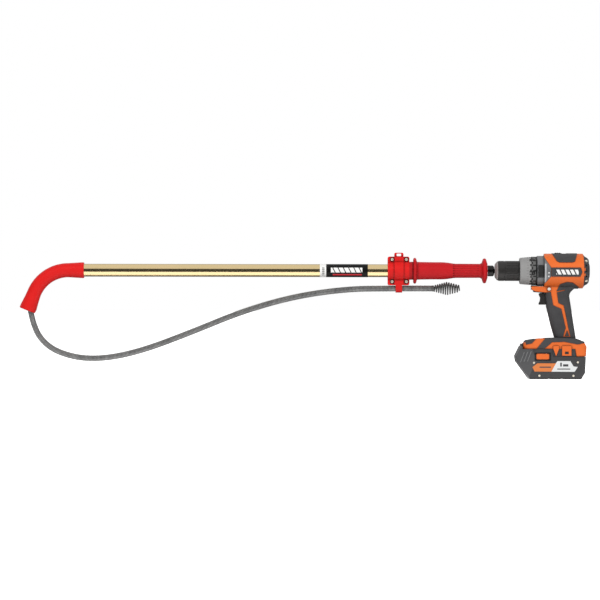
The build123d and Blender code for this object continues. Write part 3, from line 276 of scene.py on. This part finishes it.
class Shader(Nodes):
    """A node material. Coordinates are the object's own, in metres."""

    def __init__(self, name):
        self.material = bpy.data.materials.new(name)
        self.material.use_nodes = True
        super().__init__(self.material.node_tree, "Object")
        self.bsdf = self.tree.nodes["Principled BSDF"]

    def colour(self, value):
        self.feed(self.bsdf.inputs["Base Color"], value)

    def rough(self, value):
        self.feed(self.bsdf.inputs["Roughness"], value)

    def near(self, u, v, place, radius):
        """1 within a radius of a place, in two coordinates."""
        across = self.math("POWER", self.math("ABSOLUTE", self.math("SUBTRACT", u, place[0])), 2.0)
        up = self.math("POWER", self.math("ABSOLUTE", self.math("SUBTRACT", v, place[1])), 2.0)
        away = self.math("SQRT", self.math("ADD", across, up))
        return self.remap(away, radius + MARK_EDGE, radius - MARK_EDGE)

    def bump(self, height, strength, distance):
        made = self.node("ShaderNodeBump",
                         {"Height": height, "Strength": strength, "Distance": distance})
        self.feed(self.bsdf.inputs["Normal"], made.outputs[0])

    def crevice_shade(self):
        """Painted shade: 1 in seams and inner corners, where other surfaces stand close."""
        nearby = self.node("ShaderNodeAmbientOcclusion", {"Distance": CREVICE_REACH}, samples=8)
        return self.remap(nearby.outputs["AO"], CREVICE_OPEN, CREVICE_SHUT)

    def edge_wear(self, gain):
        """Up to gain on convex and concave edges, broken up by noise."""
        bevel = self.node("ShaderNodeBevel", {"Radius": WEAR_RADIUS}, samples=4)
        geometry = self.node("ShaderNodeNewGeometry")
        dot = self.node("ShaderNodeVectorMath", operation="DOT_PRODUCT")
        self.feed(dot.inputs[0], bevel.outputs[0])
        self.feed(dot.inputs[1], geometry.outputs["Normal"])
        worn = self.remap(dot.outputs["Value"], 1.0, 0.9)
        broken = self.remap(self.noise(260.0, 4.0), 0.45, 0.62)
        return self.math("MULTIPLY", self.math("MULTIPLY", worn, broken), gain, clamp=True)


def rgb(r, g, b):
    return (r, g, b, 1.0)


def darker(colour, share):
    return (colour[0] * share, colour[1] * share, colour[2] * share, 1.0)


def scuffed(colour):
    return tuple(part * SCUFF_SHARE + SCUFF_LIFT for part in colour[:3]) + (1.0,)


def plastic(name, colour, roughness=0.4, grain=0.25, wear=0.35, gloss=0.35, mottling=0.12,
            marks=()):
    """Moulded plastic: fine spark texture, faint mottling, scuffed edges and painted shade in
    seams.

    Marks are (mask, colour) pairs to print.
    """
    s = Shader(name)
    patches = s.remap(s.noise(38.0, 5.0), 0.3, 0.7)
    mottled = s.blend(patches, darker(colour, 1.0 - mottling), colour)
    shown = s.blend(s.edge_wear(wear), mottled, scuffed(colour))
    for mask, ink in marks:
        shown = s.blend(mask(s), shown, ink)
    # painted shade: darker in seams and inner corners
    s.colour(s.blend(s.math("MULTIPLY", s.crevice_shade(), SEAM_SHADE), shown, darker(colour, 0.2)))
    s.rough(s.remap(s.noise(90.0, 4.0), 0.3, 0.7, roughness - 0.06, roughness + 0.08))
    s.bump(s.noise(2600.0, 2.0), grain, 0.00004)
    s.bsdf.inputs["Specular IOR Level"].default_value = gloss
    return s.material


def rubber(name, colour, roughness=0.62, marks=()):
    """Overmoulded rubber: soft matt grain with a pattern of small raised cells."""
    s = Shader(name)
    shown = s.blend(s.remap(s.noise(30.0, 6.0), 0.35, 0.75), colour, darker(colour, 1.4))
    for mask, ink in marks:
        shown = s.blend(mask(s), shown, ink)
    # painted shade: darker in seams and inner corners
    s.colour(s.blend(s.math("MULTIPLY", s.crevice_shade(), RUBBER_SHADE), shown, darker(colour, 0.3)))
    s.rough(s.remap(s.noise(70.0, 3.0), 0.3, 0.7, roughness - 0.08, roughness + 0.1))
    raised = s.math("ADD", s.noise(3200.0, 2.0), s.math("MULTIPLY", s.cells(900.0), 0.6))
    s.bump(raised, 0.35, 0.0001)
    s.bsdf.inputs["Specular IOR Level"].default_value = 0.3
    return s.material


def metal(name, colour, roughness, lines=(6.0, 900.0, 900.0), tint=None, strength=0.25,
          metallic=1.0):
    """Drawn or turned metal: fine lines one way, slight change of tone."""
    s = Shader(name)
    fine = s.noise(1.0, 4.0, 0.6, s.stretched(lines))
    tone = s.blend(s.remap(s.noise(9.0, 3.0), 0.35, 0.65), colour, tint or darker(colour, 0.9))
    s.colour(s.blend(s.remap(fine, 0.3, 0.75), darker(colour, 0.9), tone))
    s.bsdf.inputs["Metallic"].default_value = metallic
    s.rough(s.remap(fine, 0.3, 0.7, roughness - 0.04, roughness + 0.06))
    s.bump(fine, strength, 0.00001)
    return s.material


def paint(nodes, material):
    """Gives CAD nodes a material, in their only slot."""
    for node in nodes:
        slots = NODES[node].data.materials
        slots.clear()
        slots.append(material)


# ---------------------------------------------------------------- materials
GOLD = rgb(0.80, 0.62, 0.34)
RED = rgb(0.70, 0.012, 0.011)
GRIP_RED = rgb(0.53, 0.010, 0.014)
ORANGE = rgb(0.77, 0.150, 0.026)
DARK = rgb(0.045, 0.044, 0.046)
STEEL = rgb(0.56, 0.56, 0.57)
BLACK = rgb(0.006, 0.006, 0.006)
WHITE = rgb(0.80, 0.80, 0.79)
FILM_WHITE = rgb(0.84, 0.84, 0.82)
INK = rgb(0.03, 0.03, 0.03)
GROOVE_DARK = rgb(0.03, 0.03, 0.03)
# painted shadow in the clamp's screw recesses
SCREW_SHADOW = rgb(0.10, 0.01, 0.01)
NOSE_GREY = rgb(0.074, 0.074, 0.077)
CASE_BAND = rgb(0.42, 0.42, 0.43)
LABEL_RED = rgb(0.62, 0.03, 0.04)
LABEL_ORANGE = rgb(0.68, 0.19, 0.04)
LABEL_PALE = rgb(0.70, 0.71, 0.71)
LABEL_DARK = rgb(0.05, 0.05, 0.055)

# places of printed marks and shades, in metres: (x low, x high, z low, z high)
SIDE_BAR = (0.2228, 0.2695, -0.0084, 0.0026)
SIDE_BAR_PITCH, SIDE_BAR_GAP = 0.0096, 0.3
SIDE_PAD_Y = 0.0365
TUBE_BAR = (-0.2480, -0.1820, -0.0040, 0.0062)
TUBE_BAR_PITCH, TUBE_BAR_GAP = 0.0110, 0.2
TUBE_LINE = (-0.2440, -0.1830, -0.0098, -0.0072)
TUBE_BAND_X = (-0.280, -0.2578)
TUBE_TICKS = (-0.2666, -0.2612, -0.0098, 0.0070)
TICK_PITCH, TICK_GAP = 0.0042, 0.45
PACK_PRINT = [
    (0.2310, 0.2345, -0.1998, -0.1918), (0.2370, 0.2480, -0.1998, -0.1950),
    (0.2250, 0.2520, -0.2062, -0.2040), (0.1880, 0.2120, -0.2025, -0.2000),
]
PACK_SLANT, PACK_PALE_FROM = 0.547, 0.3279
# the recess round the pack's release button is painted black as shade
PACK_RECESS = (0.1776, 0.2122, -0.1880, -0.1706)
CAP_SLOTS = [(0.2700, 0.2842, 0.0006, 0.0062), (0.2700, 0.2842, -0.0110, -0.0056)]
# the mode ring's groove and notch floors are painted black as shade
MODE_GROOVE = (0.1806, 0.1850, -0.04, 0.04)
MODE_NOTCH_FLOOR = 0.0294
CASE_LINE = (0.1830, 0.2010, -0.0148, -0.0126)
CASE_EDGE = (0.1992, 0.2025, -0.0240, 0.0150)
CASE_DOTS = [(0.2077, -0.0042), (0.2074, -0.0114)]
CASE_DOT_RADIUS = 0.0015
SCREW_HEAD = 0.0032
SCREW_RECESS = 0.0053

# the hooked gaps between the clutch ring and the mode ring, painted black as shade
LOCK_STEP, LOCK_PHASE = math.radians(60), 0.65
LOCK_HALVES, LOCK_BAR_X = (0.035, 0.125), (0.1672, 0.1776)
LOCK_BACK_HALF, LOCK_BACK_X = 0.12, (0.1762, 0.1790)
LOCK_SOFT = 0.004

# the bent line at the pack's nose: x = start - slope * z above the bend, start + slope * z below
NOSE_UPPER, NOSE_LOWER = (0.1109, 0.376), (0.2763, 0.5)


def rectangle(s, place):
    """1 inside a place (x low, x high, z low, z high)."""
    x, _, z = s.axes()
    return s.math("MULTIPLY", s.span(x, *place[:2]), s.span(z, *place[2:]))


def slashed_bar(s, place, pitch, gap):
    """Mask of a plain bar cut by slanting gaps, as a stand-in for a printed name."""
    u, _, v = s.axes()
    slant = s.math("ADD", u, s.math("MULTIPLY", v, 0.5))
    turn = s.math("FRACT", s.math("DIVIDE", slant, pitch))
    solid = s.math("GREATER_THAN", turn, gap)
    return s.math("MULTIPLY", rectangle(s, place), solid)


def area(place):
    """A mask that fills a rectangle on both sides of the tool."""
    def mask(s):
        return rectangle(s, place)
    return mask


def dot(place):
    """A mask for a small round dot on both sides of the tool."""
    def mask(s):
        x, _, z = s.axes()
        return s.near(x, z, place, CASE_DOT_RADIUS)
    return mask


def side_name(s):
    """The slashed bar on the barrel's middle pad."""
    _, y, _ = s.axes()
    at_side = s.math("GREATER_THAN", s.math("ABSOLUTE", y), SIDE_PAD_Y)
    return s.math("MULTIPLY", slashed_bar(s, SIDE_BAR, SIDE_BAR_PITCH, SIDE_BAR_GAP), at_side)


def lock_gap_shade(s):
    """Painted shade: black hooked gaps, six round the rings, where the clutch ring and the mode
    ring interlock.
    """
    x, y, z = s.axes()
    turn = s.math("ARCTAN2", z, s.math("MULTIPLY", y, -1.0))
    part = s.math("FRACT", s.math("ADD", s.math("DIVIDE", turn, LOCK_STEP), LOCK_PHASE))
    off = s.math("ABSOLUTE", s.math("SUBTRACT", part, 0.5))
    bars = s.math("MULTIPLY", s.span(off, *LOCK_HALVES, LOCK_SOFT), s.span(x, *LOCK_BAR_X))
    back = s.math("MULTIPLY", s.span(off, -1.0, LOCK_BACK_HALF, LOCK_SOFT), s.span(x, *LOCK_BACK_X))
    return s.math("MAXIMUM", bars, back)


def below_radius(radius):
    """A mask for the floors of notches cut into a ring about the tool's axis; they are painted
    black as shade.
    """
    def mask(s):
        _, y, z = s.axes()
        return s.near(y, z, (0.0, 0.0), radius)
    return mask


def screw_shade(s):
    """Painted shadow: a dark ring in and round each of the clamp's screw recesses."""
    x, _, z = s.axes()
    shade = 0.0
    for place in SCREW_PLACES:
        shade = s.math("MAXIMUM", s.near(x, z, place, SCREW_RECESS), shade)
    return shade


def battery_nose(s):
    """The pack's front, ahead of a line that is bent like a bow."""
    x, _, z = s.axes()
    upper = s.math("SUBTRACT", NOSE_UPPER[0], s.math("MULTIPLY", z, NOSE_UPPER[1]))
    lower = s.math("ADD", NOSE_LOWER[0], s.math("MULTIPLY", z, NOSE_LOWER[1]))
    return s.math("LESS_THAN", x, s.math("MINIMUM", upper, lower))


def screw_places():
    """Middles of the four clamp screws, as (x, z)."""
    low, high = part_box("clamp_screws")
    columns = (low.x + SCREW_HEAD, high.x - SCREW_HEAD)
    rows = (low.z + SCREW_HEAD, high.z - SCREW_HEAD)
    return [(x, z) for x in columns for z in rows]


SCREW_PLACES = screw_places()

gold = metal("gold_zinc", GOLD, 0.16, lines=(3.0, 500.0, 500.0), tint=rgb(0.74, 0.60, 0.31),
             strength=0.04)
red_vinyl = plastic("red_vinyl", RED, 0.3, grain=0.1, wear=0.0, gloss=0.13, mottling=0.05)
red_plastic = plastic("red_plastic", GRIP_RED, 0.4, grain=0.2, wear=0.15, gloss=0.13)
clamp_red = plastic("clamp_red", RED, 0.36, grain=0.2, wear=0.2, gloss=0.13,
                    marks=[(screw_shade, SCREW_SHADOW)])
nylon = plastic("nylon", rgb(0.78, 0.76, 0.68), 0.45)
bright_steel = metal("bright_steel", STEEL, 0.24)
chuck_steel = metal("chuck_steel", rgb(0.36, 0.34, 0.33), 0.5, metallic=0.35)
zinc_screw = metal("zinc_screw", rgb(0.78, 0.72, 0.60), 0.4, lines=(500.0, 500.0, 500.0),
                   metallic=0.3)
bulb_steel = metal("bulb_steel", rgb(0.12, 0.12, 0.118), 0.45, lines=(300.0, 300.0, 300.0),
                   metallic=0.5)
black_oxide = metal("black_oxide", rgb(0.035, 0.034, 0.034), 0.34, lines=(500.0, 500.0, 500.0))
chuck_black = plastic("chuck_black", rgb(0.024, 0.022, 0.021), 0.42, grain=0.3, wear=0.2)
# the hooked black marks on the clutch and mode rings are painted shade in the gaps between them
clutch_grey = plastic("clutch_grey", rgb(0.29, 0.287, 0.283), 0.42, grain=0.2, wear=0.2,
                      marks=[(lock_gap_shade, BLACK)])
# the groove and the notch floors are painted black as shade
mode_grey = plastic("mode_grey", rgb(0.115, 0.115, 0.113), 0.42, grain=0.2, wear=0.2, marks=[
    (lock_gap_shade, BLACK), (area(MODE_GROOVE), BLACK), (below_radius(MODE_NOTCH_FLOOR), BLACK)])
dark_plastic = plastic("dark_plastic", DARK, 0.42, grain=0.3, wear=0.3)
# the black in the pack's recess is painted shade
battery_dark = plastic("battery_dark", DARK, 0.34, grain=0.3, wear=0.3, gloss=0.5,
                       marks=[(battery_nose, NOSE_GREY), (area(PACK_RECESS), BLACK)])
# the ribs' light grey is a painted highlight, for the glints along the pack's nose
rib_highlight_grey = plastic("rib_highlight_grey", rgb(0.19, 0.19, 0.195), 0.3, grain=0.2, wear=0.0)
cap_dark = plastic("cap_dark", DARK, 0.42, grain=0.3, wear=0.3,
                   marks=[(area(place), ORANGE) for place in CAP_SLOTS])
window_dark = plastic("window_dark", rgb(0.032, 0.032, 0.032), 0.3, grain=0.05, wear=0.0)
orange_plastic = plastic("orange_plastic", ORANGE, 0.36, grain=0.2, wear=0.15, gloss=0.2,
                         mottling=0.06)
dark_rubber = rubber("dark_rubber", rgb(0.043, 0.042, 0.044), marks=[(side_name, WHITE)])
case_grey = plastic("case_grey", rgb(0.155, 0.157, 0.162), 0.36, grain=0.2, wear=0.2, gloss=0.6,
                    marks=[(area(CASE_LINE), BLACK), (area(CASE_EDGE), CASE_BAND)]
                    + [(dot(place), WHITE) for place in CASE_DOTS])
motor_steel = metal("motor_steel", rgb(0.35, 0.35, 0.36), 0.35, lines=(2200.0, 6.0, 6.0))
board_green = plastic("board_green", rgb(0.02, 0.12, 0.05), 0.35)
contact_copper = metal("contact_copper", rgb(0.8, 0.5, 0.22), 0.25, lines=(400.0, 400.0, 400.0))
cell_wrap = plastic("cell_wrap", rgb(0.05, 0.16, 0.32), 0.3, grain=0.05, wear=0.0)
pale_button = plastic("pale_button", rgb(0.74, 0.72, 0.66), 0.3, grain=0.1, wear=0.0)


def cable_material():
    """Oiled spring steel, darker in the grooves between the turns of wire."""
    s = Shader("cable_steel")
    groove = s.node("ShaderNodeAttribute", attribute_name="groove").outputs["Fac"]
    patches = s.remap(s.noise(60.0, 4.0), 0.35, 0.65)
    tone = s.blend(patches, rgb(0.20, 0.20, 0.20), rgb(0.30, 0.30, 0.295))
    s.colour(s.blend(s.remap(groove, 0.15, 0.9), tone, GROOVE_DARK))
    s.bsdf.inputs["Metallic"].default_value = 0.5
    s.rough(s.remap(s.noise(300.0, 3.0), 0.3, 0.7, 0.42, 0.58))
    s.bump(s.noise(1800.0, 2.0), 0.2, 0.00008)
    return s.material


cable_steel = cable_material()
cable.data.materials.append(cable_steel)


def tube_label_material():
    """Wrap-round film: a white end band, then black with a plain slashed bar over a red line."""
    s = Shader("tube_label_print")
    x, y, z = s.axes()
    s.bsdf.inputs["Specular IOR Level"].default_value = 0.12
    front = s.math("LESS_THAN", y, 0.0)
    bar = s.math("MULTIPLY", slashed_bar(s, TUBE_BAR, TUBE_BAR_PITCH, TUBE_BAR_GAP), front)
    underline = s.math("MULTIPLY", rectangle(s, TUBE_LINE), front)
    field = s.blend(underline, s.blend(bar, BLACK, FILM_WHITE), LABEL_RED)
    ticks = s.math("GREATER_THAN", s.math("FRACT", s.math("DIVIDE", z, TICK_PITCH)), TICK_GAP)
    print_mask = s.math("MULTIPLY", s.math("MULTIPLY", rectangle(s, TUBE_TICKS), ticks), front)
    s.colour(s.blend(s.span(x, *TUBE_BAND_X), field, s.blend(print_mask, FILM_WHITE, INK)))
    s.rough(s.remap(s.noise(120.0, 3.0), 0.3, 0.7, 0.3, 0.42))
    s.bump(s.noise(400.0, 3.0), 0.08, 0.0001)
    return s.material


def battery_label_material():
    """Film on the pack's side: orange at the front, pale grey at the back, plain dark bars."""
    s = Shader("battery_label_print")
    x, _, z = s.axes()
    slant = s.math("SUBTRACT", x, s.math("MULTIPLY", z, PACK_SLANT))
    base = s.blend(s.math("GREATER_THAN", slant, PACK_PALE_FROM), LABEL_ORANGE, LABEL_PALE)
    dark = 0.0
    for place in PACK_PRINT:
        dark = s.math("MAXIMUM", rectangle(s, place), dark)
    s.colour(s.blend(dark, base, LABEL_DARK))
    s.rough(s.remap(s.noise(120.0, 3.0), 0.3, 0.7, 0.3, 0.42))
    s.bump(s.noise(400.0, 3.0), 0.06, 0.0001)
    return s.material


def lens_material():
    """Clear plastic of the work light, with a faceted face."""
    s = Shader("lens")
    s.colour(rgb(0.9, 0.9, 0.86))
    s.rough(s.remap(s.noise(200.0, 2.0), 0.3, 0.7, 0.08, 0.16))
    s.bsdf.inputs["Transmission Weight"].default_value = 0.6
    s.bump(s.cells(900.0), 0.2, 0.0001)
    return s.material


paint(["guide_tube"], gold)
paint(["elbow_guard"], red_vinyl)
paint(["clamp_front", "clamp_back"], clamp_red)
paint(["hand_grip"], red_plastic)
paint(["tube_label"], tube_label_material())
paint(["battery_labels"], battery_label_material())
paint(["clamp_screws", "clamp_nuts", "cap_screws", "battery_screws"], zinc_screw)
paint(["front_bush", "rear_bush", "guide_ring"], nylon)
paint(["cable_inner", "cable_run"], cable_steel)
paint(["bulb_head"], bulb_steel)
paint(["chuck_body"], chuck_steel)
paint(["drive_tube", "adapter_pin", "latch_button", "spindle", "chuck_jaw_1", "chuck_jaw_2",
       "chuck_jaw_3", "spindle_bearing", "rear_bearing"], bright_steel)
paint(["drive_adapter", "housing_screws"], black_oxide)
paint(["chuck_sleeve", "trigger"], chuck_black)
paint(["clutch_ring"], clutch_grey)
paint(["mode_ring"], mode_grey)
paint(["indicator_windows"], window_dark)
paint(["rear_cap"], cap_dark)
paint(["battery_top_case", "battery_bottom_case"], battery_dark)
ribs.data.materials.append(rib_highlight_grey)
paint(["cooling_fan", "switch_module", "speed_switch", "foot_terminals"], dark_plastic)
paint(["gear_case", "gearbox", "bearing_plate"], case_grey)
paint(["motor_stator", "motor_rotor"], motor_steel)
paint(["housing_left", "housing_right", "release_button_left", "release_button_right"],
      orange_plastic)
paint(["overmould_left", "overmould_right"], dark_rubber)
paint(["control_board", "battery_board"], board_green)
paint(["battery_contacts"], contact_copper)
paint(["battery_cells"], cell_wrap)
paint(["direction_button"], pale_button)
paint(["led_lens"], lens_material())


# ---------------------------------------------------------------- studio
FLOOR_GAP = 0.0002
FLAG_LIFT = 0.001
FLOOR_LOW, FLOOR_HIGH = (-25, -12), (25, 40)
FLAG_X = 12.0
FRONT_FLAG_Y, BACK_FLAG_Y = (-11.0, -0.42), (0.03, 11.0)
LIGHT_TARGET = (-0.3, 0.0, -0.06)


def stage_plane(name, corner_low, corner_high, z, material):
    """A level plane of the studio."""
    x0, y0 = corner_low
    x1, y1 = corner_high
    mesh = bpy.data.meshes.new(name)
    mesh.from_pydata([(x0, y0, z), (x1, y0, z), (x1, y1, z), (x0, y1, z)], [], [(0, 1, 2, 3)])
    plane = bpy.data.objects.new(name, mesh)
    mesh.materials.append(material)
    bpy.context.scene.collection.objects.link(plane)
    return plane


def soft_light(name, place, size, power):
    """A soft box that faces the tool and leaves no glint of its own."""
    data = bpy.data.lights.new(name, "AREA")
    data.shape = "RECTANGLE"
    data.size, data.size_y = size
    data.energy = power
    lamp = bpy.data.objects.new(name, data)
    lamp.location = place
    direction = Vector([t - p for t, p in zip(LIGHT_TARGET, place)])
    lamp.rotation_euler = direction.to_track_quat("-Z", "Y").to_euler()
    lamp.visible_glossy = False
    bpy.context.scene.collection.objects.link(lamp)
    return lamp


floor_shader = Shader("floor")
floor_shader.colour(floor_shader.blend(
    floor_shader.noise(3.0, 4.0), rgb(0.90, 0.90, 0.90), rgb(0.93, 0.93, 0.93)))
floor_shader.bsdf.inputs["Roughness"].default_value = 0.8
floor_shader.bsdf.inputs["Specular IOR Level"].default_value = 0.2
floor_shader.bsdf.inputs["Emission Color"].default_value = rgb(1.0, 1.0, 1.0)
floor_shader.bsdf.inputs["Emission Strength"].default_value = 0.82
FLOOR_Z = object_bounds()[0].z - FLOOR_GAP
floor = stage_plane("floor", FLOOR_LOW, FLOOR_HIGH, FLOOR_Z, floor_shader.material)
# the floor gives no diffuse light, so that undersides stay darker than tops
floor.visible_diffuse = False


def flag(name, material_name, reach, grey):
    """A plane that only reflections see: it darkens what glossy undersides mirror."""
    shader = Shader(material_name)
    shader.colour(rgb(grey, grey, grey))
    shader.bsdf.inputs["Roughness"].default_value = 1.0
    plane = stage_plane(name, (-FLAG_X, reach[0]), (FLAG_X, reach[1]), FLOOR_Z + FLAG_LIFT,
                        shader.material)
    plane.visible_camera = False
    plane.visible_diffuse = False
    plane.visible_shadow = False
    plane.visible_transmission = False


flag("flag_front", "flag", FRONT_FLAG_Y, 0.02)
flag("flag_back", "back_flag", BACK_FLAG_Y, 0.22)

soft_light("key", (-0.7, -2.2, 1.7), (2.6, 1.2), 32)
soft_light("fill", (1.6, -1.8, 0.5), (1.2, 1.2), 8)
soft_light("back", (-0.2, 2.0, 1.4), (2.4, 0.9), 12)

world = bpy.data.worlds.new("studio")
bpy.context.scene.world = world
world.use_nodes = True
world.node_tree.nodes.clear()
sky = Nodes(world.node_tree, "Generated")
_, toward_back, upward = sky.axes()
# reflections: a dark room behind the camera, a wide soft box above, a dimmer wall at the back
front_wall = sky.remap(upward, 0.40, 0.54, 0.05, 0.92)
back_wall = sky.remap(upward, 0.2, 0.95, 0.30, 0.92)
at_front = sky.remap(toward_back, 0.08, -0.08)
seen_in_gloss = sky.math("ADD", sky.math("MULTIPLY", front_wall, at_front),
                         sky.math("MULTIPLY", back_wall, sky.math("SUBTRACT", 1.0, at_front)))
# soft light from the front and the back, and less from the ends, above and below
ambient = sky.remap(sky.math("ABSOLUTE", toward_back), 0.0, 0.9, 0.26, 1.08)
rays = sky.node("ShaderNodeLightPath")
glossy, camera_ray = rays.outputs["Is Glossy Ray"], rays.outputs["Is Camera Ray"]
level = sky.choose(camera_ray, sky.choose(glossy, ambient, seen_in_gloss), 1.0)
background = sky.node("ShaderNodeBackground", {"Color": rgb(1.0, 1.0, 1.0), "Strength": level})
sky.node("ShaderNodeOutputWorld", {"Surface": background.outputs[0]})
